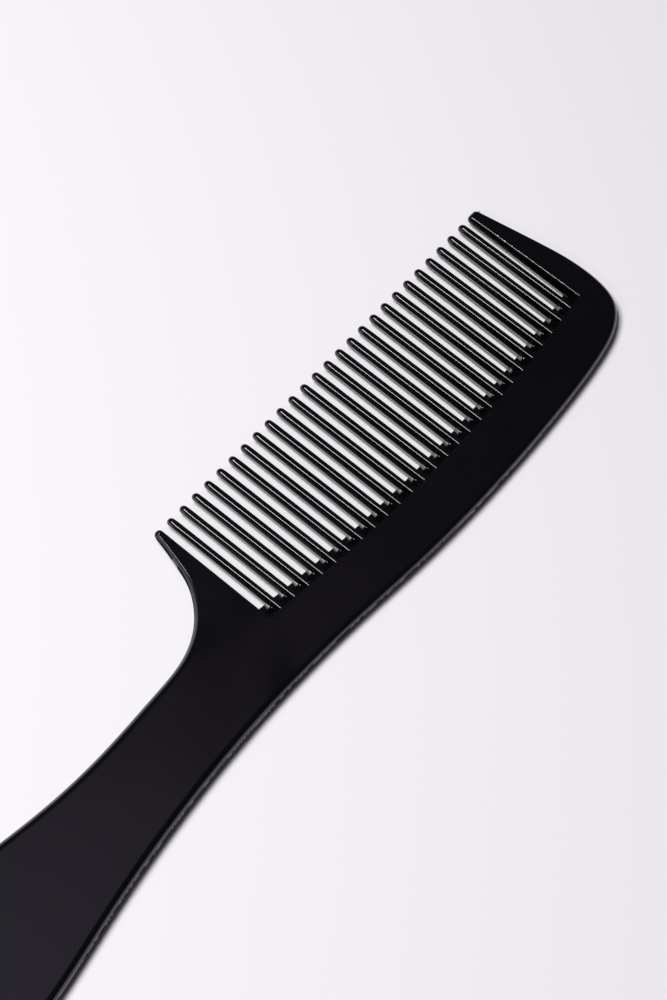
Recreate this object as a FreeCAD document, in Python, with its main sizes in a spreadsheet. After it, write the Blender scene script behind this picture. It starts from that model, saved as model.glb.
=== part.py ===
import FreeCAD, Part
import math
import os
import Sketcher
from FreeCAD import Placement, Rotation, Vector

# Wide tooth comb with a handle: one black injection moulding, drawn here as the features it is made of.
# Frame: +X from the handle to the free end, +Y from the back to the tooth tips, +Z up.
# Origin: centre of the underside's bounding box, so the comb lies on z = 0.

doc = FreeCAD.newDocument("wide_tooth_comb")
sheet = doc.addObject("Spreadsheet::Sheet", "Sheet")

DIMENSIONS = [
    ("pitch", "3.6", "tooth spacing"),
    ("tooth_total", "26", "regular teeth"),
    ("first_tooth_x", "9.46", "centre of the first regular tooth"),
    ("tip_y", "23.76", "line of the tooth tips"),
    ("thickness", "3.9", "spine and handle thickness"),
    ("edge_round", "1.9", "round of the outer edges"),
    ("tooth_width", "1.45", "tooth width at the parting line"),
    ("tooth_draft", "8", "draft of the tooth flanks, degrees"),
    ("tip_round", "1.1", "round of a tooth tip, seen from the side"),
    ("tooth_edge", "0.25", "round of the tooth's long edges"),
    ("tooth_seat", "0.4", "how far a tooth's root sits back in the spine"),
    ("root_depth_y", "-7.16", "deepest point of the root line"),
    ("root_centre_x", "56.9", "where the root line is deepest"),
    ("root_radius", "353", "radius of the root line"),
    ("web_reach", "2.9", "how far the thin webs reach into the gaps"),
    ("web_round", "3.1", "hollow round of the webs"),
    ("guard_draft", "20", "draft of the guard teeth's inner flanks, degrees"),
    ("guard_tip", "2.2", "thickness of the guard teeth at the tip"),
    ("guard_edge", "0.3", "round of the guard teeth's inner edges"),
    ("guard_corner", "0.95", "round of the guard teeth's tips, seen from above"),
    ("front_tip_x", "104.8", "outer side of the front guard tooth's tip"),
    ("rear_inner_x", "6.9", "inner flank of the rear guard tooth"),
    ("front_inner_x", "101.8", "inner flank of the front guard tooth"),
    ("handle_end_x", "-7", "where the handle meets the head"),
]
for row, (alias, value, note) in enumerate(DIMENSIONS, start=1):
    sheet.set("A%d" % row, note)
    sheet.set("B%d" % row, value)
    sheet.setAlias("B%d" % row, alias)
doc.recompute()


def dim(alias):
    return float(getattr(sheet, alias))


PITCH = dim("pitch")
THICK = dim("thickness")
TIP_Y = dim("tip_y")


# ---------------------------------------------------------------- helpers

def origin_plane(body, role):
    return next(o for o in body.Origin.OriginFeatures if o.Role == role)


def sketch_on(body, role, name):
    sketch = body.newObject("Sketcher::SketchObject", name)
    sketch.AttachmentSupport = [(origin_plane(body, role), "")]
    sketch.MapMode = "FlatFace"
    return sketch


def add_loop(sketch, corners):
    """A closed polygon; each corner is (x, y, x expression, y expression)."""
    first = sketch.GeometryCount
    count = len(corners)
    for k, (x, y, _, _) in enumerate(corners):
        nx, ny = corners[(k + 1) % count][:2]
        sketch.addGeometry(Part.LineSegment(Vector(x, y, 0), Vector(nx, ny, 0)), False)
    for k in range(count):
        sketch.addConstraint(Sketcher.Constraint("Coincident", first + k, 2, first + (k + 1) % count, 1))
    for k, (x, y, ex, ey) in enumerate(corners):
        for kind, value, expression in (("DistanceX", x, ex), ("DistanceY", y, ey)):
            index = sketch.addConstraint(Sketcher.Constraint(kind, -1, 1, first + k, 1, value))
            sketch.setExpression("Constraints[%d]" % index, expression)


def extrude_polygon(name, points, z0, z1):
    face = Part.Face(Part.makePolygon([Vector(x, y, z0) for x, y in points + points[:1]]))
    obj = doc.addObject("Part::Feature", name)
    obj.Shape = face.extrude(Vector(0, 0, z1 - z0))
    return obj


def boolean(kind, name, base, tool):
    obj = doc.addObject("Part::" + kind, name)
    obj.Base = base
    obj.Tool = tool
    return obj


def fillet(name, base, edges):
    doc.recompute()
    obj = doc.addObject("Part::Fillet", name)
    obj.Base = base
    obj.Edges = [(k + 1, r, r) for k, e in enumerate(base.Shape.Edges) for r in [edges(e)] if r]
    return obj


def check(obj, at_least=0.0):
    doc.recompute()
    bad = [s for s in obj.State if s in ("Invalid", "Error")]
    shape = obj.Shape
    if bad or shape.isNull() or not shape.isValid() or shape.Volume < at_least:
        raise RuntimeError("%s: %s" % (obj.Label, bad or "bad shape"))
    return obj


# ---------------------------------------------------------------- blank: the outline of the whole comb

# Outline in tooth pitches from the first crest and the tip line, from the rear guard tooth's tip
# round the handle and along the back to the front guard tooth's tip.
OUTLINE = [
    (-0.95, 0.6), (-1.30, -1.0), (-1.60, -2.0), (-1.95, -3.0), (-2.59, -4.0), (-3.50, -4.87), (-5.0, -5.61),
    (-8.0, -5.97), (-12.0, -6.10), (-16.0, -5.91), (-20.0, -5.36), (-24.0, -4.85), (-28.0, -4.95),
    (-31.2, -6.4), (-32.78, -9.0), (-31.2, -11.75), (-28.0, -13.02), (-25.5, -13.12), (-22.0, -12.73),
    (-18.0, -12.04), (-14.0, -11.47), (-10.0, -11.08), (-4.0, -10.84), (2.0, -11.02), (8.0, -11.45),
    (14.0, -11.57), (20.0, -11.35), (24.0, -10.95), (26.0, -10.43), (27.24, -9.5), (27.73, -8.0),
    (27.7, -6.0), (27.35, -4.0), (26.92, -2.0), (26.36, 0.6),
]
CREST_X = 9.045


def to_frame(point):
    return Vector(CREST_X + PITCH * point[0], TIP_Y + PITCH * point[1], 0)


outline = [to_frame(p) for p in OUTLINE]
rear_x, front_x = dim("rear_inner_x"), dim("front_inner_x")
root_x, root_y, root_r = dim("root_centre_x"), dim("root_depth_y"), dim("root_radius")


def root_line(x):
    return root_y + root_r - math.sqrt(root_r ** 2 - (x - root_x) ** 2)


blank = doc.addObject("PartDesign::Body", "comb_blank")
plan = sketch_on(blank, "XY_Plane", "outline")
spline = Part.BSplineCurve()
spline.interpolate(outline)
rear_root = Vector(rear_x, root_line(rear_x), 0)
front_root = Vector(front_x, root_line(front_x), 0)
corners = [outline[-1], Vector(front_x, outline[-1].y, 0), front_root]
plan.addGeometry(spline, False)
plan.addGeometry(Part.LineSegment(corners[0], corners[1]), False)
plan.addGeometry(Part.LineSegment(corners[1], corners[2]), False)
plan.addGeometry(Part.Arc(front_root, Vector(root_x, root_y, 0), rear_root), False)
plan.addGeometry(Part.LineSegment(rear_root, Vector(rear_x, outline[0].y, 0)), False)
plan.addGeometry(Part.LineSegment(Vector(rear_x, outline[0].y, 0), outline[0]), False)
pad = blank.newObject("PartDesign::Pad", "plate")
pad.Profile = plan
pad.setExpression("Length", "Sheet.thickness")
check(pad, 1000)
rounds = blank.newObject("PartDesign::Fillet", "outer_rounds")
names = ["Edge%d" % (k + 1) for k, e in enumerate(pad.Shape.Edges)
         if "BSpline" in e.Curve.TypeId and e.Length > 200]
rounds.Base = (pad, names)
rounds.setExpression("Radius", "Sheet.edge_round")
blank.Tip = rounds
check(rounds, 1000)


# ---------------------------------------------------------------- teeth

half = THICK / 2
draft = math.tan(math.radians(dim("tooth_draft")))
tooth_w = dim("tooth_width")
tip_r = dim("tip_round")


def add_tip_cut(sketch, start, centre, radius, names):
    """Outside of a tapering bar that ends in a tangent round.

    start is the bar's (distance, half width) at its root, centre the round's distance from the root.
    The bar runs along the sketch's axis at height `mid`; names are the expressions of these values.
    """
    distance, width, mid = start
    alpha = math.atan(width / centre) - math.asin(radius / math.hypot(width, centre))
    touch = (centre + radius * math.sin(alpha), radius * math.cos(alpha))
    far = centre + radius + 1
    pts = [(distance, mid + width), (touch[0], mid + touch[1]), (touch[0], mid - touch[1]),
           (distance, mid - width), (distance, mid - width - 1), (far, mid - width - 1),
           (far, mid + width + 1), (distance, mid + width + 1)]
    vec = [Vector(x, y, 0) for x, y in pts]
    sketch.addGeometry(Part.LineSegment(vec[0], vec[1]), False)
    circle = Part.Circle(Vector(centre, mid, 0), Vector(0, 0, 1), radius)
    angle = math.atan2(touch[1], touch[0] - centre)
    sketch.addGeometry(Part.ArcOfCircle(circle, -angle, angle), False)
    for a, b in ((2, 3), (3, 4), (4, 5), (5, 6), (6, 7), (7, 0)):
        sketch.addGeometry(Part.LineSegment(vec[a], vec[b]), False)
    con = sketch.addConstraint
    con(Sketcher.Constraint("Tangent", 0, 2, 1, 2))
    con(Sketcher.Constraint("Tangent", 1, 1, 2, 1))
    for k in range(2, 7):
        con(Sketcher.Constraint("Coincident", k, 2, k + 1, 1))
    con(Sketcher.Constraint("Coincident", 7, 2, 0, 1))
    sized = [("Radius", (1,), radius, names["radius"]),
             ("DistanceX", (-1, 1, 1, 3), centre, names["centre"]),
             ("DistanceY", (-1, 1, 1, 3), mid, names["mid"])]
    for geo, point in ((0, vec[0]), (3, vec[4]), (4, vec[5]), (5, vec[6]), (6, vec[7])):
        end = 1 if geo == 0 else 2
        sized.append(("DistanceX", (-1, 1, geo, end), point.x, None))
        sized.append(("DistanceY", (-1, 1, geo, end), point.y, None))
    sized.append(("DistanceX", (-1, 1, 2, 2), vec[3].x, None))
    sized.append(("DistanceY", (-1, 1, 2, 2), vec[3].y, None))
    for kind, where, value, expression in sized:
        index = con(Sketcher.Constraint(kind, *where, value))
        if expression:
            sketch.setExpression("Constraints[%d]" % index, expression)


def cut_through(body, sketch, name):
    before = body.Tip.Shape.Volume
    pocket = body.newObject("PartDesign::Pocket", name)
    pocket.Profile = sketch
    pocket.Type = "ThroughAll"
    pocket.Midplane = True
    check(pocket)
    if pocket.Shape.Volume > before - 1e-3:
        raise RuntimeError(name + " cuts nothing")
    return pocket


def make_tooth(index):
    name = "tooth_%02d" % index
    x = dim("first_tooth_x") + PITCH * (index - 1)
    length = TIP_Y - root_line(x) + dim("tooth_seat")
    place_x = "(Sheet.first_tooth_x + Sheet.pitch * %d)" % (index - 1)
    place_y = ("(Sheet.root_depth_y + Sheet.root_radius - sqrt(Sheet.root_radius ^ 2"
               " - (%s - Sheet.root_centre_x) ^ 2) - Sheet.tooth_seat)" % place_x)
    reach = "(Sheet.tip_y - %s)" % place_y
    body = doc.addObject("PartDesign::Body", name)
    body.Label = name
    body.setExpression("Placement.Base.x", place_x)
    body.setExpression("Placement.Base.y", place_y)

    # hexagonal section with draft from the parting line to the top and to the underside
    wide = "Sheet.tooth_width / 2"
    slim = "(Sheet.tooth_width / 2 - Sheet.thickness / 2 * tan(Sheet.tooth_draft))"
    w, s = tooth_w / 2, tooth_w / 2 - half * draft
    section = sketch_on(body, "XZ_Plane", name + "_section")
    add_loop(section, [
        (-s, 0, "-" + slim, "0"), (s, 0, slim, "0"), (w, half, wide, "Sheet.thickness / 2"),
        (s, THICK, slim, "Sheet.thickness"), (-s, THICK, "-" + slim, "Sheet.thickness"),
        (-w, half, "-" + wide, "Sheet.thickness / 2")])
    bar = body.newObject("PartDesign::Pad", name + "_bar")
    bar.Profile = section
    bar.Reversed = True
    bar.setExpression("Length", reach)
    check(bar, 50)

    # thinner towards the tip, with a rounded end
    side = sketch_on(body, "YZ_Plane", name + "_side")
    add_tip_cut(side, (0, half, half), length - tip_r, tip_r,
                {"radius": "Sheet.tip_round", "centre": reach + " - Sheet.tip_round",
                 "mid": "Sheet.thickness / 2"})
    cut_through(body, side, name + "_taper")

    # rounded end seen from above
    plan = sketch_on(body, "XY_Plane", name + "_plan")
    yc = length - w
    circle = Part.Circle(Vector(0, yc, 0), Vector(0, 0, 1), w)
    plan.addGeometry(Part.ArcOfCircle(circle, 0, math.pi), False)
    box = [(-w, yc), (-w - 1, yc), (-w - 1, length + 1), (w + 1, length + 1), (w + 1, yc), (w, yc)]
    for a, b in zip(box, box[1:]):
        plan.addGeometry(Part.LineSegment(Vector(a[0], a[1], 0), Vector(b[0], b[1], 0)), False)
    for k in range(5):
        plan.addConstraint(Sketcher.Constraint("Coincident", k, 2, k + 1, 1))
    plan.addConstraint(Sketcher.Constraint("Coincident", 5, 2, 0, 1))
    end = cut_through(body, plan, name + "_end")

    # small rounds along the edges of the upper and lower face
    edges = body.newObject("PartDesign::Fillet", name + "_edges")
    edges.Base = (end, ["Edge%d" % (k + 1) for k, e in enumerate(end.Shape.Edges) if soft_edge(e)])
    edges.setExpression("Radius", "Sheet.tooth_edge")
    body.Tip = edges
    check(edges, 50)
    return body


def soft_edge(edge):
    """The long edges of a tooth's upper and lower face."""
    box = edge.BoundBox
    middle = abs(box.Center.z - half) < 0.05
    return edge.Length > 15 and not middle


teeth = [make_tooth(k + 1) for k in range(int(dim("tooth_total")))]


# ---------------------------------------------------------------- guard teeth

rear_y, front_y = root_line(rear_x), root_line(front_x)
handle_x = dim("handle_end_x")
guard_draft = math.tan(math.radians(dim("guard_draft")))
guard_tip = dim("guard_tip") / 2
corner = dim("guard_corner")
REAR_SEAM = [(handle_x, 4.3), (rear_x - half * guard_draft, rear_y)]      # slanting seam with the spine


def feature(name, shapes):
    obj = doc.addObject("Part::Feature", name)
    obj.Shape = Part.makeCompound(shapes)
    return obj


def mirrored_prisms(name, profile, push):
    """Prisms over a profile of (point, height above the parting plane), one up and one down."""
    shapes = []
    for flip in (1, -1):
        pts = [Vector(p.x, p.y, half + flip * rise) for p, rise in profile]
        shapes.append(Part.Face(Part.makePolygon(pts + pts[:1])).extrude(push))
    return feature(name, shapes)


def draft_cutters(name, inner_x, side):
    """Give the inner flank its draft; side is +1 when the plastic lies towards +X."""
    top = inner_x + side * (half + 1) * guard_draft
    profile = [(Vector(x, -8, 0), rise) for x, rise in
               ((inner_x, 0), (top, half + 1), (inner_x - side, half + 1), (inner_x - side, 0))]
    return mirrored_prisms(name, profile, Vector(0, 60, 0))


def slope_cutters(name, hinge, across, tip):
    """Thin a guard tooth evenly from the line through `hinge` towards its tip."""
    along = Vector(-across.y, across.x, 0)
    reach = 60.0
    drop = (half - guard_tip) / (tip - hinge).dot(across) * reach
    profile = [(hinge - along * reach + across * d, rise) for d, rise in
               ((0, half), (0, half + 5), (reach, half + 5), (reach, half - drop))]
    return mirrored_prisms(name, profile, along * 2 * reach)


def tip_cutter(name, x0, x1):
    """Everything beyond the rounded end of a guard tooth that reaches from x0 to x1."""
    def block(xa, ya, xb, yb):
        return Part.makeBox(xb - xa, yb - ya, THICK + 2, Vector(xa, ya, -1))
    centre_y = TIP_Y - corner
    plan = block(x0 - 3, centre_y, x1 + 3, TIP_Y + 4)
    keep = [Part.makeCylinder(corner, THICK + 2, Vector(x, centre_y, -1)) for x in (x0 + corner, x1 - corner)]
    if x1 - x0 > 2 * corner + 0.05:
        keep.append(block(x0 + corner, centre_y - 1, x1 - corner, TIP_Y))
    for piece in keep:
        plan = plan.cut(piece)
    side = block(x0 - 3, TIP_Y - guard_tip, x1 + 3, TIP_Y + 4)
    side = side.cut(Part.makeCylinder(guard_tip, x1 - x0 + 8, Vector(x0 - 4, TIP_Y - guard_tip, half),
                                      Vector(1, 0, 0)))
    return feature(name, [plan, side])


def guard_tooth(label, zone, inner_x, side, hinge, across, tip, span):
    piece = boolean("Common", label + "_raw", blank, zone)
    for stage, tool in (("flank", draft_cutters(label + "_draft", inner_x, side)),
                        ("slope", slope_cutters(label + "_taper", hinge, across, tip))):
        piece = boolean("Cut", label + "_" + stage, piece, tool)
        check(piece, 100)
    piece = check(fillet(label + "_edges", piece, lambda e: inner_edge(e, inner_x)), 100)
    node = boolean("Cut", label, piece, tip_cutter(label + "_end", *span))
    node.Label = label
    return check(node, 100)


def inner_edge(edge, inner_x):
    """The long upper and lower edge of a guard tooth's inner flank."""
    box = edge.BoundBox
    long_one = edge.Length > 20 and abs(box.Center.x - inner_x) < 1 and abs(box.Center.z - half) > 0.3
    return dim("guard_edge") if long_one else None


seam_dir = Vector(REAR_SEAM[1][0] - REAR_SEAM[0][0], REAR_SEAM[1][1] - REAR_SEAM[0][1], 0).normalize()
rear_zone = extrude_polygon("rear_zone", [REAR_SEAM[0], REAR_SEAM[1], (rear_x, rear_y),
                                          (rear_x, TIP_Y + 4), (handle_x, TIP_Y + 4)], -1, THICK + 1)
rear = guard_tooth("rear_guard_tooth", rear_zone, rear_x, -1, Vector(*REAR_SEAM[0], 0),
                   Vector(-seam_dir.y, seam_dir.x, 0), Vector(rear_x - corner, TIP_Y, 0),
                   (rear_x - 2 * corner, rear_x))
front_zone = extrude_polygon("front_zone", [(front_x, front_y), (front_x + 20, front_y),
                                            (front_x + 20, TIP_Y + 4), (front_x, TIP_Y + 4)], -1, THICK + 1)
front = guard_tooth("front_guard_tooth", front_zone, front_x, 1, Vector(front_x, front_y, 0),
                    Vector(0, 1, 0), Vector(front_x, TIP_Y, 0), (front_x, dim("front_tip_x")))


# ---------------------------------------------------------------- handle, spine and the webs between the teeth

handle_zone = extrude_polygon("handle_zone", [(-150, -60), (handle_x, -60), (handle_x, 60), (-150, 60)],
                              -1, THICK + 1)
handle = boolean("Common", "handle", blank, handle_zone)
handle.Label = "handle"
check(handle, 1000)

# Between the teeth the root hollows down from both faces to a thin edge at the parting plane.
reach, hollow = dim("web_reach"), dim("web_round")
pivot = Vector(root_x, root_y + root_r, 0)
swing_rear = math.degrees(math.asin((root_x - rear_x + 1.2) / root_r))
swing_front = math.degrees(math.asin((front_x + 3 - root_x) / root_r))
start = Rotation(Vector(0, 0, 1), -swing_rear)


def web_point(y, z):
    return start.multVec(Vector(0, y - pivot.y, z)) + pivot


def hollow_arc(flip):
    """Arc from the root line on one face down to the thin edge, level where it ends."""
    tilt = math.asin(reach / hollow)
    steps = [(root_y + reach - hollow * math.sin(tilt * k), hollow * (1 - math.cos(tilt * k)))
             for k in (1, 0.5, 0)]
    scale = half / steps[0][1]
    return [web_point(y, half + flip * max(rise * scale, 0.05)) for y, rise in steps]


def segment(a, b):
    return Part.LineSegment(a, b).toShape()


upper, lower = hollow_arc(1), hollow_arc(-1)
back_up, back_low = web_point(root_y - 0.5, THICK), web_point(root_y - 0.5, 0)
wire = Part.Wire([segment(back_up, upper[0]), Part.Arc(*upper).toShape(), segment(upper[2], lower[2]),
                  Part.Arc(*lower[::-1]).toShape(), segment(lower[0], back_low), segment(back_low, back_up)])
ring = doc.addObject("Part::Feature", "web_ring")
ring.Shape = Part.Face(wire).revolve(pivot, Vector(0, 0, 1), swing_rear + swing_front)
check(ring, 10)

guards = doc.addObject("Part::Compound", "guards")
guards.Links = [rear, front]
guard_zones = doc.addObject("Part::Compound", "guard_zones")
guard_zones.Links = [rear_zone, front_zone]
tooth_set = doc.addObject("Part::Compound", "tooth_set")
tooth_set.Links = teeth
head_zone = extrude_polygon("head_zone", [(handle_x, -60), (150, -60), (150, 60), (handle_x, 60)],
                            -1, THICK + 1)
head = boolean("Common", "head", blank, head_zone)
back = boolean("Cut", "back", head, guard_zones)
webs = boolean("Cut", "webs", ring, guards)
webbed = boolean("Fuse", "webbed_back", back, webs)
spine = boolean("Cut", "spine", webbed, tooth_set)
spine.Label = "spine"
check(spine, 1000)


# ---------------------------------------------------------------- write the nodes

nodes = [handle, spine, rear, front] + teeth
for obj in doc.Objects:
    if any(state in ("Invalid", "Error") for state in obj.State):
        raise RuntimeError("%s failed" % obj.Name)
os.makedirs("parts", exist_ok=True)
for node in nodes:
    check(node, 50)
    if len(node.Shape.Solids) != 1:
        raise RuntimeError("%s is not one solid" % node.Label)
    node.Shape.exportStep("parts/%s.step" % node.Label)
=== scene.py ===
import bpy
import math
import numpy as np
from mathutils import Matrix, Vector
from mathutils.geometry import delaunay_2d_cdt
from mathutils.kdtree import KDTree


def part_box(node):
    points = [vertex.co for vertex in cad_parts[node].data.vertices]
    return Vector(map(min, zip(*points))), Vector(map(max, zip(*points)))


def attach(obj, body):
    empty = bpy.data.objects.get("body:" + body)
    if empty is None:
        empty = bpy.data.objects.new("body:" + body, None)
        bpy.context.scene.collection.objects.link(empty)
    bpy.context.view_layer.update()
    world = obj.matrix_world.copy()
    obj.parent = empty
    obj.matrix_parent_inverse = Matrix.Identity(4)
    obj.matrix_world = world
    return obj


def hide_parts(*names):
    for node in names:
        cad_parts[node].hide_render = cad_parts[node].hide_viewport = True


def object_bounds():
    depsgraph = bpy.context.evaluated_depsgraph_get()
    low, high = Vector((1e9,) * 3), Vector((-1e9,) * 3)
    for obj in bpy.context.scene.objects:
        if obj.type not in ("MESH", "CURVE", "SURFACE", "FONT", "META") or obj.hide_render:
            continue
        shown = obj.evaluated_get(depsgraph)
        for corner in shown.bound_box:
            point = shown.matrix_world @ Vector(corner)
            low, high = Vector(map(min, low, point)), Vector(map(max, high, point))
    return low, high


# A wide tooth comb: one glossy black moulding, shown as a handle, a spine with thin webs,
# two guard teeth and twenty-six slim teeth. Shapes are worked out in millimetres.

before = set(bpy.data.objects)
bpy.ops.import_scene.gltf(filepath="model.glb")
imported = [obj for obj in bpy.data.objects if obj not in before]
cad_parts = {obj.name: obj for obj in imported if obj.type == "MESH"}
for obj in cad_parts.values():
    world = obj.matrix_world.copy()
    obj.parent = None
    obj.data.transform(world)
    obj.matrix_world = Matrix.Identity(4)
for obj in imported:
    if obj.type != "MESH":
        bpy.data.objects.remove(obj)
cad_low, cad_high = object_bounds()
MM = 0.001


# ---------------------------------------------------------------- measures read from the CAD nodes

def box_mm(node):
    low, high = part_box(node)
    return [v / MM for v in low], [v / MM for v in high]


tooth_nodes = sorted(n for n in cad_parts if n.startswith("tooth_"))
tooth_boxes = [box_mm(n) for n in tooth_nodes]
tooth_x = [(low[0] + high[0]) / 2 for low, high in tooth_boxes]
TOOTH_HALF = (tooth_boxes[0][1][0] - tooth_boxes[0][0][0]) / 2
TIP_Y = tooth_boxes[0][1][1]
PITCH = (tooth_x[-1] - tooth_x[0]) / (len(tooth_x) - 1)
HALF = (cad_high.z - cad_low.z) / MM / 2              # half the thickness; the parting plane lies here
SEAT = 0.4                                            # a tooth's root sits this far back in the spine
HANDLE_X = box_mm("handle")[1][0]
REAR_X = box_mm("rear_guard_tooth")[1][0]
FRONT_X = box_mm("front_guard_tooth")[0][0]

# root line: a wide arc through the teeth's roots
roots = np.array([(x, low[1] + SEAT) for x, (low, high) in zip(tooth_x, tooth_boxes)])
fit = np.linalg.lstsq(np.c_[2 * roots, np.ones(len(roots))], (roots ** 2).sum(1), rcond=None)[0]
ROOT_C = fit[:2]
ROOT_R = math.sqrt(fit[2] + fit[0] ** 2 + fit[1] ** 2)


def root_line(x):
    return ROOT_C[1] - np.sqrt(ROOT_R ** 2 - (x - ROOT_C[0]) ** 2)


# ---------------------------------------------------------------- outline

# From the rear guard tooth's tip round the handle and along the back to the front guard tooth's
# tip, in tooth pitches from the first tooth's crest and the line of the tips. The CAD has the same points.
OUTLINE = [
    (-0.95, 0.6), (-1.30, -1.0), (-1.60, -2.0), (-1.95, -3.0), (-2.59, -4.0), (-3.50, -4.87), (-5.0, -5.61),
    (-8.0, -5.97), (-12.0, -6.10), (-16.0, -5.91), (-20.0, -5.36), (-24.0, -4.85), (-28.0, -4.95),
    (-31.2, -6.4), (-32.78, -9.0), (-31.2, -11.75), (-28.0, -13.02), (-25.5, -13.12), (-22.0, -12.73),
    (-18.0, -12.04), (-14.0, -11.47), (-10.0, -11.08), (-4.0, -10.84), (2.0, -11.02), (8.0, -11.45),
    (14.0, -11.57), (20.0, -11.35), (24.0, -10.95), (26.0, -10.43), (27.24, -9.5), (27.73, -8.0),
    (27.7, -6.0), (27.35, -4.0), (26.92, -2.0), (26.36, 0.6),
]
CREST = 0.415                                         # from a tooth's middle to its crest
STEP = 0.5                                            # spacing of the outline's points


def spline(points, step):
    """Evenly spaced points on a natural cubic spline through the given points."""
    p = np.array(points, float)
    t = np.r_[0, np.cumsum(np.hypot(*np.diff(p, axis=0).T))]
    h = np.diff(t)
    n = len(p)
    a = np.eye(n)
    b = np.zeros((n, 2))
    for k in range(1, n - 1):
        a[k, k - 1:k + 2] = h[k - 1], 2 * (h[k - 1] + h[k]), h[k]
        b[k] = 6 * ((p[k + 1] - p[k]) / h[k] - (p[k] - p[k - 1]) / h[k - 1])
    m = np.linalg.solve(a, b)

    def at(u):
        k = np.clip(np.searchsorted(t, u) - 1, 0, n - 2)
        w, v, g = (t[k + 1] - u)[:, None], (u - t[k])[:, None], h[k][:, None]
        return (m[k] * w ** 3 + m[k + 1] * v ** 3) / (6 * g) + (p[k] / g - m[k] * g / 6) * w \
            + (p[k + 1] / g - m[k + 1] * g / 6) * v

    dense = at(np.linspace(0, t[-1], 8000))
    run = np.r_[0, np.cumsum(np.hypot(*np.diff(dense, axis=0).T))]
    even = np.linspace(0, run[-1], int(run[-1] / step) + 1)
    return np.c_[np.interp(even, run, dense[:, 0]), np.interp(even, run, dense[:, 1])]


rim = spline([(tooth_x[0] - CREST + PITCH * x, TIP_Y + PITCH * y) for x, y in OUTLINE], STEP)


def split(line, test):
    """Cut a polyline where test changes sign; returns the pieces, each with its exact end points."""
    value = test(line)
    pieces, start = [], [line[0]]
    for k in range(len(line) - 1):
        if (value[k] < 0) != (value[k + 1] < 0):
            cut = line[k] + (line[k + 1] - line[k]) * value[k] / (value[k] - value[k + 1])
            pieces.append(np.array(start + [cut]))
            start = [cut]
            if np.hypot(*(line[k + 1] - cut)) < 0.1:
                continue
        start.append(line[k + 1])
    pieces.append(np.array(start))
    return pieces


front_y = float(root_line(FRONT_X))
rear_y = float(root_line(REAR_X))
rear_rim, handle_rim, rest_rim = split(rim, lambda p: p[:, 0] - HANDLE_X)
spine_rim, front_rim = split(rest_rim, lambda p: np.where(p[:, 0] > FRONT_X, p[:, 1] - front_y, -1.0))


def inward(line):
    d = np.gradient(line, axis=0)
    d /= np.hypot(d[:, 0], d[:, 1])[:, None]
    return np.c_[-d[:, 1], d[:, 0]]                   # the rim runs anticlockwise round the comb


# ---------------------------------------------------------------- half thickness over the plan

NOSE = HALF + 0.2                                     # radius of the rounded rim
GUARD_NOSE = 2.4                                      # flatter sides of the guard teeth
BLEND = 0.2                                           # soft edge between a broad face and the rim
WALL_BLEND = 0.5                                      # and between it and a guard tooth's inner wall
ROOT_BLEND = 0.14                                     # and between the spine and its webs
GUARD_TIP = 1.1                                       # half thickness of a guard tooth at its tip
TIP_CORNER = 0.95                                     # corner radius of a guard tooth's tip
REAR_TIP, FRONT_TIP = 1.9, 3.0                        # widths of the guard teeth at their tips
GUARD_DRAFT = math.tan(math.radians(20))
REACH, HOLLOW = 2.9, 3.1                              # reach and hollow radius of the webs
UPPER_DRAFT = math.tan(math.radians(6.6))             # tooth flanks above the parting plane
LOWER_DRAFT = math.tan(math.radians(13.5))            # and below it
TOOTH_TIP = 1.1                                       # half thickness of a tooth at its tip
FILLET = 0.13                                         # round between a web and a tooth
WEB_EDGE = 0.05                                       # half thickness of a web's thin edge
SHOULDER = 2.6                                        # slope that lifts webs and walls clear of the back


def soft_min(a, b, k):
    h = np.clip(0.5 + 0.5 * (b - a) / k, 0, 1)
    return b + (a - b) * h - k * h * (1 - h)


def ramp(x, a):
    """Zero below 0, then a smooth start of length a into a slope of one."""
    return np.where(x <= 0, 0, np.where(x < a, x * x / (2 * a), x - a / 2))


def smooth(x, a, b):
    t = np.clip((x - a) / (b - a), 0, 1)
    return t * t * (3 - 2 * t)


def line_distance(line, p):
    """Distance of points to a polyline."""
    tree = KDTree(len(line))
    for k, q in enumerate(line):
        tree.insert((q[0], q[1], 0), k)
    tree.balance()
    near = np.array([tree.find((q[0], q[1], 0))[1] for q in p])
    best = np.full(len(p), 1e9)
    for shift in (-1, 0):
        k = np.clip(near + shift, 0, len(line) - 2)
        a, ab = line[k], line[k + 1] - line[k]
        s = np.clip(((p - a) * ab).sum(1) / np.maximum((ab ** 2).sum(1), 1e-12), 0, 1)
        best = np.minimum(best, np.hypot(*(p - a - s[:, None] * ab).T))
    return best


def rim_distance(p):
    return line_distance(rim, p)


def nose(d, radius):
    d = np.clip(d, 0, radius)
    return np.sqrt(d * (2 * radius - d))


rear_corner = np.array([REAR_X - HALF * GUARD_DRAFT, rear_y])
TIP_SLOPE = (HALF - GUARD_TIP) / (TIP_Y - rear_y)
BACK_SLOPE = 0.026
CREST_ROUND = 2.0                                     # length over which a slope starts on each side


def facet(p):
    """Half thickness of the broad faces: a low ridge along the root line, level in the handle.

    head fades the back's slope in behind the rear guard tooth and out again at the front end; tips
    does the same for the slope towards the tooth tips.
    """
    x, y = p[:, 0], p[:, 1]
    v = y - root_line(x)
    head = smooth(x + 0.95 * (rear_y - y), 3.0, 13.0) * (1 - smooth(x + 0.9 * (y - front_y), 97.0, 105.0))
    tips = smooth(x, -16.0, -2.0)
    return HALF - TIP_SLOPE * ramp(v, CREST_ROUND) * tips - BACK_SLOPE * ramp(-v, CREST_ROUND) * head


def rim_radius(p, h):
    """Radius of the rounded rim: just over half the thickness, wider along the guard teeth."""
    v = p[:, 1] - root_line(p[:, 0])
    return h + BLEND + 0.01 + (GUARD_NOSE - h - BLEND) * smooth(v, 0.0, 8.0)


def broad(p):
    h = facet(p)
    return soft_min(nose(rim_distance(p), rim_radius(p, h)), h, BLEND)


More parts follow.
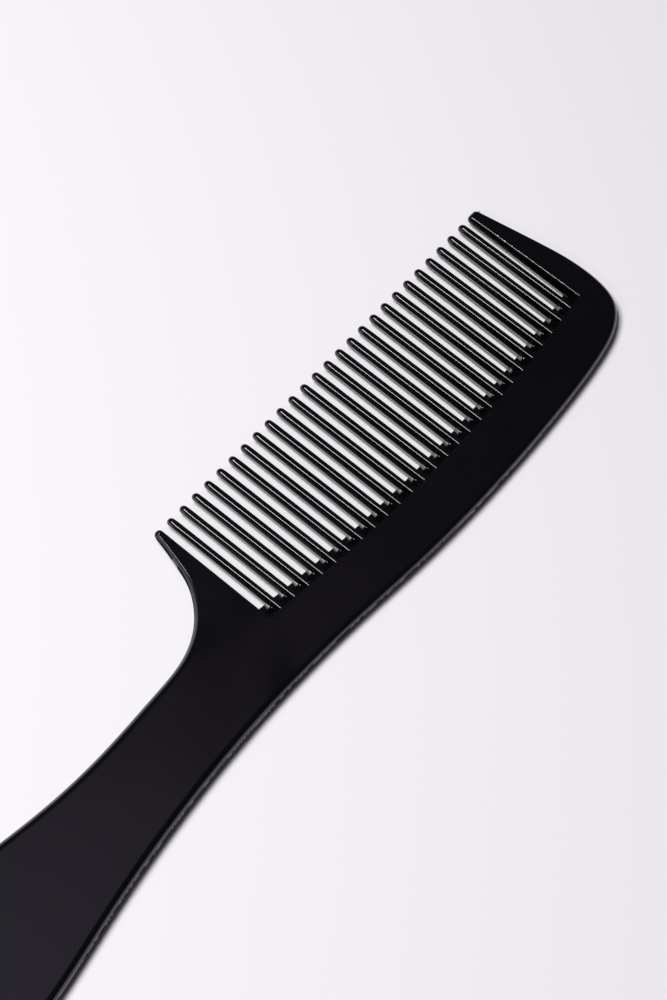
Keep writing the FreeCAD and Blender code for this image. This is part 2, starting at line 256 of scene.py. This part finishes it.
FLAT = 0.7                                            # level strip along a web's thin edge
TILT = math.asin((REACH - FLAT) / HOLLOW)
OVERLAP = 0.05                                        # the webs run this far into the guard teeth
rear_end, front_end = REAR_X - HALF * GUARD_DRAFT - OVERLAP, FRONT_X + HALF * GUARD_DRAFT + OVERLAP


def web_curve(v):
    """Hollow from the root line down to the webs' thin edge."""
    s = np.clip((REACH - FLAT - v) / HOLLOW, 0, 1)
    fall = (1 - np.sqrt(1 - np.clip(s, 0, math.sin(TILT)) ** 2)) / (1 - math.cos(TILT))
    hollow = WEB_EDGE + (HALF - WEB_EDGE) * fall
    return np.where(v < 0, HALF - SHOULDER * v, hollow)


def spine_height(p):
    """Half thickness of the spine: the broad face, cut down to the webs between the guard teeth."""
    x, y = p[:, 0], p[:, 1]
    v = y - root_line(x)
    web = web_curve(v)
    nearest = np.array(tooth_x)[np.clip(np.rint((x - tooth_x[0]) / PITCH).astype(int), 0, len(tooth_x) - 1)]
    gap = np.abs(x - nearest) - (TOOTH_HALF - web * UPPER_DRAFT)
    gap = np.clip(gap, 0, FILLET)
    rise = FILLET - np.sqrt(FILLET ** 2 - (FILLET - gap) ** 2)
    web = web + np.where(v > 0, rise * np.clip((HALF - web) / 0.7, 0, 1), 0)
    web = soft_min(web, 8 * np.clip(REACH - v, 0, None), 0.03)
    web = np.where(REACH - v < 1e-6, 0, web)
    comb = (x > rear_end - 1e-6) & (x < front_end + 1e-6)
    near_front = x > (REAR_X + FRONT_X) / 2
    wall = np.where(near_front, x - FRONT_X, REAR_X - x) / GUARD_DRAFT \
        + SHOULDER * np.clip(np.where(near_front, front_y, rear_y) - y, 0, None)
    flat = np.where(comb, broad(p), soft_min(broad(p), wall, WALL_BLEND))
    full = np.where(comb & (v > -1.0), soft_min(flat, web, ROOT_BLEND), flat)
    return np.where(comb & (v > 0.3), np.minimum(web, HALF), full)


NO_LIMIT = 9.0                                        # thicker than the comb anywhere


def tip_round(p, low, high, corner, radius):
    """Round end of a guard tooth that reaches from low to high in x."""
    x, y = p[:, 0], p[:, 1]
    cy = TIP_Y - corner
    cx = np.clip(x, low + corner, high - corner)
    d = corner - np.hypot(x - cx, np.clip(y - cy, 0, None))
    return np.where(y > cy, nose(d, radius), NO_LIMIT)


rear_low = REAR_X - REAR_TIP
front_high = FRONT_X + FRONT_TIP


def guard_height(p, wall, low, high):
    """Half thickness of a guard tooth, between its drafted inner wall and its round tip."""
    h = soft_min(broad(p), wall, WALL_BLEND)
    h = np.where(wall < 1e-6, 0, h)
    return np.minimum(h, tip_round(p, low, high, TIP_CORNER, GUARD_TIP))


def rear_height(p):
    return guard_height(p, (REAR_X - p[:, 0]) / GUARD_DRAFT, rear_low, REAR_X)


def front_height(p):
    return guard_height(p, (p[:, 0] - FRONT_X) / GUARD_DRAFT, FRONT_X, front_high)


# ---------------------------------------------------------------- meshes from a plan and a half thickness

def inside(p, polygon, margin=0.0):
    """Which points lie in the polygon, and further than margin from its line."""
    x, y = p[:, 0][:, None], p[:, 1][:, None]
    a, b = polygon, np.roll(polygon, -1, axis=0)
    cross = (a[:, 1] > y) != (b[:, 1] > y)
    with np.errstate(divide="ignore", invalid="ignore"):
        at = a[:, 0] + (y - a[:, 1]) / (b[:, 1] - a[:, 1]) * (b[:, 0] - a[:, 0])
    hit = (cross & (x < at)).sum(1) % 2 == 1
    if margin:
        hit &= line_distance(np.vstack([polygon, polygon[:1]]), p) > margin
    return hit


TURNS = [math.radians(a) for a in (84, 77, 70, 62, 54, 46, 38, 30, 22, 14, 7, 0)]


def rim_rows(line):
    """Rows of points across the rounded rim."""
    n = inward(line)
    return np.concatenate([line + n * NOSE * (1 - math.sin(t)) for t in TURNS])


GRID = 1.8                                            # spacing of the points on a broad face
EDGE_MARGIN = 0.07                                    # rows keep this far from a plan's own points


def slab(name, polygon, rows, height):
    """A closed piece: the plan inside polygon, as thick each side of the parting plane as height says."""
    polygon = np.array(polygon)
    low, high = polygon.min(0), polygon.max(0)
    gx, gy = np.meshgrid(*(np.arange(low[k] + GRID / 2, high[k], GRID) for k in (0, 1)))
    grid = np.c_[gx.ravel(), gy.ravel()]
    grid = grid[inside(grid, polygon)]
    grid = grid[rim_distance(grid) > NOSE + 0.4]
    extra = rows[inside(rows, polygon, EDGE_MARGIN)]
    points = np.concatenate([polygon, extra, grid])
    n = len(polygon)
    edges = [(k, (k + 1) % n) for k in range(n)]
    verts, _, faces, _, _, _ = delaunay_2d_cdt(
        [Vector(p) for p in points], edges, [list(range(n))], 1, 1e-5)
    plan = np.array([tuple(v) for v in verts])
    faces = np.array([list(f) for f in faces])
    a, b, c = plan[faces[:, 0]], plan[faces[:, 1]], plan[faces[:, 2]]
    area = (b[:, 0] - a[:, 0]) * (c[:, 1] - a[:, 1]) - (b[:, 1] - a[:, 1]) * (c[:, 0] - a[:, 0])
    faces = faces[np.abs(area) > 1e-7]
    area = area[np.abs(area) > 1e-7]
    faces[area < 0] = faces[area < 0][:, ::-1]

    # the shading normals follow the height's own slopes, and face outwards on the thin border
    h = height(plan)
    e = 1e-3
    slopes = []
    for step in ([e, 0], [0, e]):
        ahead, behind = (height(plan + step) - h) / e, (h - height(plan - step)) / e
        slopes.append(np.where(np.abs(ahead) < np.abs(behind), ahead, behind))
    gx, gy = slopes
    normal = np.c_[-gx, -gy, np.ones(len(plan))]
    flat = h < 1e-4
    h = np.where(flat, 0, h)
    directed = np.concatenate([faces[:, [0, 1]], faces[:, [1, 2]], faces[:, [2, 0]]])
    known = set(map(tuple, directed))
    border = [(i, j) for i, j in directed if (j, i) not in known]
    out = np.zeros((len(plan), 2))
    for i, j in border:
        side = plan[j] - plan[i]
        for k in (i, j):
            out[k] += (side[1], -side[0])
    normal[flat, :2] = out[flat]
    normal[flat, 2] = 0
    normal /= np.linalg.norm(normal, axis=1)[:, None] + 1e-12

    below = np.arange(len(plan))
    thick = np.flatnonzero(~flat)
    below[thick] = len(plan) + np.arange(len(thick))
    coords = np.concatenate([np.c_[plan, HALF + h], np.c_[plan[thick], HALF - h[thick]]])
    normals = np.concatenate([normal, normal[thick] * [1, 1, -1]])
    polys = [tuple(f) for f in faces] + [tuple(below[f][::-1]) for f in faces]
    caps = []
    for i, j in border:
        cap = [i, below[i], below[j], j]
        cap = [v for k, v in enumerate(cap) if v != cap[k - 1]]
        if len(cap) > 2:
            caps.append(tuple(cap))
    return make(name, coords, polys + caps, normals, len(polys))


def make(name, coords, polys, normals, smooth_count):
    mesh = bpy.data.meshes.new(name)
    mesh.from_pydata([tuple(float(v) * MM for v in c) for c in coords], [],
                     [tuple(int(v) for v in f) for f in polys])
    mesh.polygons.foreach_set("use_smooth", [True] * len(mesh.polygons))
    loops = []
    for k, f in enumerate(mesh.polygons):
        for v in f.vertices:
            loops.append(tuple(normals[v]) if k < smooth_count else tuple(f.normal))
    mesh.normals_split_custom_set(loops)
    mesh.validate()
    obj = bpy.data.objects.new(name, mesh)
    bpy.context.scene.collection.objects.link(obj)
    return obj


INNER_STEPS = (0.03, 0.06, 0.1, 0.14, 0.18, 0.23, 0.3, 0.4, 0.55, 0.8, 1.1)


def seam_line(a, b, rim_b):
    """Points on a straight seam from the rim, dense across the rounded rim and towards an inner corner."""
    a, b = np.array(a), np.array(b)
    length = float(np.hypot(*(b - a)))
    near = [NOSE * (1 - math.sin(t)) for t in TURNS]
    runs = [0.0, length] + near
    if rim_b:
        runs += [length - d for d in near]
    high = length - (NOSE if rim_b else 0)
    runs += list(np.linspace(NOSE, high, max(2, int((high - NOSE) / 1.5)))[1:-1])
    if not rim_b:
        runs += [length - d for d in INNER_STEPS]
    runs = sorted(set(round(r, 6) for r in runs if 0 <= r <= length))
    return [tuple(a + (b - a) * r / length) for r in runs]


# handle
handle_seam = seam_line(handle_rim[-1], handle_rim[0], True)
handle_plan = [tuple(p) for p in handle_rim] + handle_seam[1:-1]
handle = slab("moulded_handle", handle_plan, rim_rows(handle_rim), broad)

# spine
WEB_SIDE = (0.4, 0.58, 0.7, 0.8, 0.9, 1.02, 1.15, 1.3, 1.55)      # from a tooth's middle, dense at its flank
WEB_DOWN = (-0.5, -0.3, -0.2, -0.12, -0.05, 0.02, 0.1, 0.18, 0.3, 0.45, 0.65, 0.9,
            1.2, 1.5, 1.8, 2.1, 2.4, 2.65, 2.8, 2.87)             # from the root line to the webs' thin edge
web_x = []
for x in [REAR_X - 1.2 - PITCH / 2] + tooth_x + [FRONT_X + 1.2]:
    web_x += [x - s for s in WEB_SIDE[::-1]] + [x] + [x + s for s in WEB_SIDE]
web_x = [rear_end] + sorted(x for x in web_x if rear_end + 0.1 < x < front_end - 0.1) + [front_end]
web_x = np.array(web_x)
web_rows = np.concatenate([np.c_[web_x, root_line(web_x) + v] for v in WEB_DOWN])
front_corner = (front_end, front_y)
rear_seam = seam_line(rear_rim[-1], rear_corner, False)
front_seam = seam_line(front_rim[0], front_corner, False)
web_edge = [(float(x), float(root_line(x) + REACH)) for x in web_x[::-1]]
spine_plan = [tuple(p) for p in spine_rim[:-1]] + front_seam + web_edge \
    + [tuple(p) for p in rear_seam[::-1]][:-1] + [tuple(p) for p in handle_seam[::-1]][:-1]
spine = slab("moulded_spine", spine_plan, np.concatenate([rim_rows(spine_rim), web_rows]), spine_height)


# guard teeth
def arc(cx, cy, r, a0, a1, count=9):
    return [(cx + r * math.cos(math.radians(a)), cy + r * math.sin(math.radians(a)))
            for a in np.linspace(a0, a1, count)]


WALL_SHARES = (0.03, 0.12, 0.3, 0.5, 0.62, 0.7, 0.77, 0.83, 0.89, 0.94, 1.0, 1.06, 1.12, 1.2, 1.3, 1.45)
TIP_STEPS = (0.02, 0.06, 0.12, 0.2, 0.3, 0.42, 0.55, 0.7, 0.85)
CREASE_STEPS = (-0.22, -0.16, -0.1, -0.05, 0, 0.05, 0.1, 0.16, 0.23, 0.32)
TIP_GAP = 0.15                                        # the rim stops this far short of the round tip


def guard_rows(inner_x, side, low_y):
    """Rows up the inner wall and over its edge; the shares are of the wall's width."""
    ys = np.arange(low_y, TIP_Y - 0.2, 0.6)
    crease = facet(np.c_[np.full(len(ys), inner_x), ys]) * GUARD_DRAFT
    return np.concatenate([np.c_[inner_x + side * crease * o, ys] for o in WALL_SHARES])


def tip_rows(low, high):
    """Rows round the tip, each a step further in."""
    rows = []
    cy = TIP_Y - TIP_CORNER
    left, right = low + TIP_CORNER, high - TIP_CORNER
    for d in TIP_STEPS:
        rows += arc(left, cy, TIP_CORNER - d, 90, 180) + arc(right, cy, TIP_CORNER - d, 0, 90)
        rows += [(x, TIP_Y - d) for x in np.linspace(left, right, 6)]
    return np.array(rows)


def crease_rows(line):
    """Rows along the crease where the sloped face meets the rounded rim."""
    n = inward(line)
    h = facet(line)
    radius = rim_radius(line, h)
    d = radius - np.sqrt(radius ** 2 - h ** 2)
    return np.concatenate([line + n * (d + o)[:, None] for o in CREASE_STEPS])


tip_centre = TIP_Y - TIP_CORNER
rear_tip = arc(REAR_X - TIP_CORNER, tip_centre, TIP_CORNER, 0, 180, 17)
keep = rear_rim[rear_rim[:, 1] < tip_centre - TIP_GAP]
wall = [(REAR_X, y) for y in np.arange(rear_y + 0.8, TIP_Y - 1.3, 0.8)]
rear_plan = [tuple(p) for p in rear_seam] + [(REAR_X, rear_y)] + wall + rear_tip \
    + [tuple(p) for p in keep[:-1]]
rows = np.concatenate([rim_rows(rear_rim), guard_rows(REAR_X, -1, rear_y), tip_rows(rear_low, REAR_X),
                       crease_rows(rear_rim)])
rear = slab("moulded_rear_guard", rear_plan, rows, rear_height)

front_tip = arc(front_high - TIP_CORNER, tip_centre, TIP_CORNER, 0, 90) \
    + arc(FRONT_X + TIP_CORNER, tip_centre, TIP_CORNER, 90, 180)
keep = front_rim[front_rim[:, 1] < tip_centre - TIP_GAP]
wall = [(FRONT_X, y) for y in np.arange(TIP_Y - 1.6, front_y + 0.4, -0.8)]
front_plan = [tuple(p) for p in keep] + front_tip + wall + [(FRONT_X, front_y)] \
    + [tuple(p) for p in front_seam[::-1]][:-1]
rows = np.concatenate([rim_rows(front_rim), guard_rows(FRONT_X, 1, front_y), tip_rows(FRONT_X, front_high),
                       crease_rows(front_rim)])
front = slab("moulded_front_guard", front_plan, rows, front_height)


# ---------------------------------------------------------------- teeth

TOOTH_EDGE = 0.3                                      # round of a tooth's upper and lower edges
TIP_EDGE = 0.5                                        # and how much rounder they get at the tip
TIP_TURNS = (6, 12, 18, 25, 32, 40, 48, 56, 64, 72, 79, 85, 88.5)


def tooth_section(w, h, edge, draft_slope):
    """Half of a tooth's section, from one side's parting edge over the top to the other side's."""
    slim = max(w - h * draft_slope, 0.35 * w)
    draft = math.atan2(w - slim, h)
    wall = math.hypot(w - slim, h)
    turn = math.pi / 2 - draft
    cut = min(edge * math.tan(turn / 2), 0.95 * slim, 0.8 * wall)
    r = cut / math.tan(turn / 2)
    cx, cy = slim - cut, h - r
    pts = [(w, 0.0), (w - 0.04 * (w - slim), 0.04 * h), (w - 0.3 * (w - slim), 0.3 * h)]
    for k in range(9):
        a = draft + turn * k / 8
        pts.append((cx + r * math.cos(a), cy + r * math.sin(a)))
    pts.append((cx * 0.5, h))
    pts.append((0.0, h))
    return pts + [(-x, z) for x, z in pts[-2::-1]]


def tooth(index):
    """A slim tooth: it thins from the root to a round tip, and both its halves are drafted."""
    x0 = tooth_x[index]
    start = float(root_line(x0)) - SEAT
    length = TIP_Y - start
    centre = length - TOOTH_TIP
    alpha = math.atan(HALF / centre) - math.asin(TOOTH_TIP / math.hypot(HALF, centre))
    stations = list(np.linspace(0, centre, 22))
    stations += [centre + TOOTH_TIP * math.sin(math.radians(a)) for a in TIP_TURNS]
    rings = []
    plan_centre = length - TOOTH_HALF
    for s in stations:
        h = HALF - s * math.tan(alpha)
        if s > centre:
            h = min(h, math.sqrt(max(TOOTH_TIP ** 2 - (s - centre) ** 2, 0)))
        w = TOOTH_HALF
        if s > plan_centre:
            w = math.sqrt(max(TOOTH_HALF ** 2 - (s - plan_centre) ** 2, 0))
        near = max(0.0, 1 - (length - s) / 1.6)
        edge = TOOTH_EDGE + TIP_EDGE * near
        upper = tooth_section(w, h, edge, UPPER_DRAFT)
        lower = tooth_section(w, h, edge, LOWER_DRAFT)
        ring = [(x0 + x, start + s, HALF + z) for x, z in upper]
        ring += [(x0 + x, start + s, HALF - z) for x, z in lower[-2:0:-1]]
        rings.append(ring)
    m = len(rings[0])
    coords = [c for ring in rings for c in ring] + [(x0, TIP_Y, HALF)]
    polys = []
    for k in range(len(rings) - 1):
        a, b = k * m, (k + 1) * m
        for j in range(m):
            polys.append((a + j, b + j, b + (j + 1) % m, a + (j + 1) % m)[::-1])
    last = (len(rings) - 1) * m
    for j in range(m):
        polys.append((last + j, len(coords) - 1, last + (j + 1) % m)[::-1])
    count = len(polys)
    polys.append(tuple(range(m))[::-1])
    coords = np.array(coords)
    normals = np.zeros((len(coords), 3))
    for f in polys[:count]:
        c = coords[list(f)]
        n = sum(np.cross(c[i] - c[0], c[i + 1] - c[0]) for i in range(1, len(c) - 1)) / 2
        for v in f:
            normals[v] += n
    normals /= np.linalg.norm(normals, axis=1)[:, None] + 1e-12
    return make("moulded_" + tooth_nodes[index], coords, polys, normals, count)


teeth = [tooth(k) for k in range(len(tooth_x))]


# ---------------------------------------------------------------- material

def ramp_node(tree, source, stops):
    node = tree.nodes.new("ShaderNodeValToRGB")
    elements = node.color_ramp.elements
    while len(elements) < len(stops):
        elements.new(0.5)
    for element, (at, colour) in zip(elements, stops):
        element.position = at
        element.color = colour
    tree.links.new(source, node.inputs["Fac"])
    return node


def plastic():
    mat = bpy.data.materials.new("glossy_black_plastic")
    mat.use_nodes = True
    nt = mat.node_tree
    shader = next(n for n in nt.nodes if n.type == "BSDF_PRINCIPLED")
    shader.inputs["IOR"].default_value = 1.52
    coord = nt.nodes.new("ShaderNodeTexCoord")

    def noise(scale, detail=3.0, rough=0.5, stretch=None):
        node = nt.nodes.new("ShaderNodeTexNoise")
        node.inputs["Scale"].default_value = scale
        node.inputs["Detail"].default_value = detail
        node.inputs["Roughness"].default_value = rough
        source = coord.outputs["Object"]
        if stretch:
            mapping = nt.nodes.new("ShaderNodeMapping")
            mapping.inputs["Scale"].default_value = stretch[0]
            mapping.inputs["Rotation"].default_value = stretch[1]
            nt.links.new(source, mapping.inputs["Vector"])
            source = mapping.outputs["Vector"]
        nt.links.new(source, node.inputs["Vector"])
        return node

    cloud = noise(55, 4)
    colour = ramp_node(nt, cloud.outputs["Fac"], [(0.3, (0.0012, 0.0011, 0.0014, 1)),
                                                  (0.7, (0.0022, 0.0020, 0.0026, 1))])
    nt.links.new(colour.outputs["Color"], shader.inputs["Base Color"])

    haze = noise(140, 5, 0.6)
    scratch = noise(900, 2, 0.5, ((0.06, 1.0, 1.0), (0, 0, math.radians(12))))
    rough = nt.nodes.new("ShaderNodeMapRange")
    rough.inputs["From Min"].default_value = 0.3
    rough.inputs["From Max"].default_value = 0.75
    rough.inputs["To Min"].default_value = 0.10
    rough.inputs["To Max"].default_value = 0.17
    nt.links.new(haze.outputs["Fac"], rough.inputs["Value"])
    nt.links.new(rough.outputs["Result"], shader.inputs["Roughness"])

    wave = noise(90, 2, 0.5)
    bump = nt.nodes.new("ShaderNodeBump")
    bump.inputs["Strength"].default_value = 0.25
    bump.inputs["Distance"].default_value = 0.00002
    nt.links.new(wave.outputs["Fac"], bump.inputs["Height"])
    fine = nt.nodes.new("ShaderNodeBump")
    fine.inputs["Strength"].default_value = 0.12
    fine.inputs["Distance"].default_value = 0.000004
    nt.links.new(scratch.outputs["Fac"], fine.inputs["Height"])
    nt.links.new(bump.outputs["Normal"], fine.inputs["Normal"])
    nt.links.new(fine.outputs["Normal"], shader.inputs["Normal"])
    return mat


black = plastic()
pieces = [(handle, "handle"), (spine, "spine"), (rear, "rear_guard_tooth"), (front, "front_guard_tooth")]
pieces += list(zip(teeth, tooth_nodes))
for piece, node in pieces:
    piece.data.materials.append(black)
    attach(piece, "root")
    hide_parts(node)


# ---------------------------------------------------------------- table, light, camera

FLOOR = 3.0                                           # half the table's width, in metres
floor_mesh = bpy.data.meshes.new("table_top")
corners = [(-FLOOR, -FLOOR, 0), (FLOOR, -FLOOR, 0), (FLOOR, FLOOR, 0), (-FLOOR, FLOOR, 0)]
floor_mesh.from_pydata(corners, [], [(0, 1, 2, 3)])
floor = bpy.data.objects.new("table_top", floor_mesh)
bpy.context.scene.collection.objects.link(floor)
white = bpy.data.materials.new("pale_table")
white.use_nodes = True
paper = next(n for n in white.node_tree.nodes if n.type == "BSDF_PRINCIPLED")
paper.inputs["Base Color"].default_value = (0.80, 0.79, 0.80, 1)
paper.inputs["Roughness"].default_value = 0.7
paper.inputs["Specular IOR Level"].default_value = 0.2
floor_mesh.materials.append(white)


def area_light(name, direction, distance, size, radiance, colour, target=(0.04, -0.01, 0.0)):
    """A soft light that faces the target from the given direction."""
    data = bpy.data.lights.new(name, "AREA")
    data.shape = "RECTANGLE"
    data.size, data.size_y = size
    data.energy = radiance * math.pi * size[0] * size[1]
    data.color = colour
    obj = bpy.data.objects.new(name, data)
    d = Vector(direction).normalized()
    obj.location = Vector(target) + d * distance
    obj.rotation_mode = "QUATERNION"
    obj.rotation_quaternion = (-d).to_track_quat("-Z", "Y")
    bpy.context.scene.collection.objects.link(obj)


area_light("key_softbox", (-0.25, 0.27, 0.93), 1.0, (0.385, 0.385), 26.0, (1.0, 0.985, 0.995),
           target=(0.0, 0.06, 0.0))
area_light("left_panel", (-0.72, 0.10, 0.68), 1.3, (0.25, 0.25), 6.0, (0.93, 0.97, 1.0))

world = bpy.data.worlds.new("studio")
bpy.context.scene.world = world
world.use_nodes = True
wt = world.node_tree
background = next(n for n in wt.nodes if n.type == "BACKGROUND")
where = wt.nodes.new("ShaderNodeTexCoord")
dot = wt.nodes.new("ShaderNodeVectorMath")
dot.operation = "DOT_PRODUCT"
dot.inputs[1].default_value = Vector((0.15, 0.12, 0.98)).normalized()
wt.links.new(where.outputs["Generated"], dot.inputs[0])
# dim towards the horizon, brighter straight overhead
levels = [(0.0, 0.045), (0.85, 0.05), (0.92, 0.055), (0.945, 0.06), (0.969, 0.10), (0.975, 0.14),
          (0.979, 0.24), (0.985, 0.36), (1.0, 0.5)]
glow = ramp_node(wt, dot.outputs["Value"],
                 [(at, (level, 0.86 * level, 1.2 * level, 1)) for at, level in levels])
wt.links.new(glow.outputs["Color"], background.inputs["Color"])

# the camera looks down on the head; its three axes are given in the comb's frame
camera_data = bpy.data.cameras.new("camera")
camera_data.lens = 106.6
camera_data.sensor_width = 36
camera_data.clip_start, camera_data.clip_end = 0.01, 20
camera = bpy.data.objects.new("camera", camera_data)
right = Vector((0.62578, -0.76785, 0.13713))
up = Vector((0.65161, 0.61126, 0.44919))
back = Vector((-0.42874, -0.19174, 0.88285))
turn = Matrix((right, up, back)).transposed().to_4x4()
camera.matrix_world = Matrix.Translation(Vector((-0.20720, -0.10455, 0.49914))) @ turn
bpy.context.scene.collection.objects.link(camera)
bpy.context.scene.camera = camera
bpy.context.scene.view_settings.view_transform = "Standard"
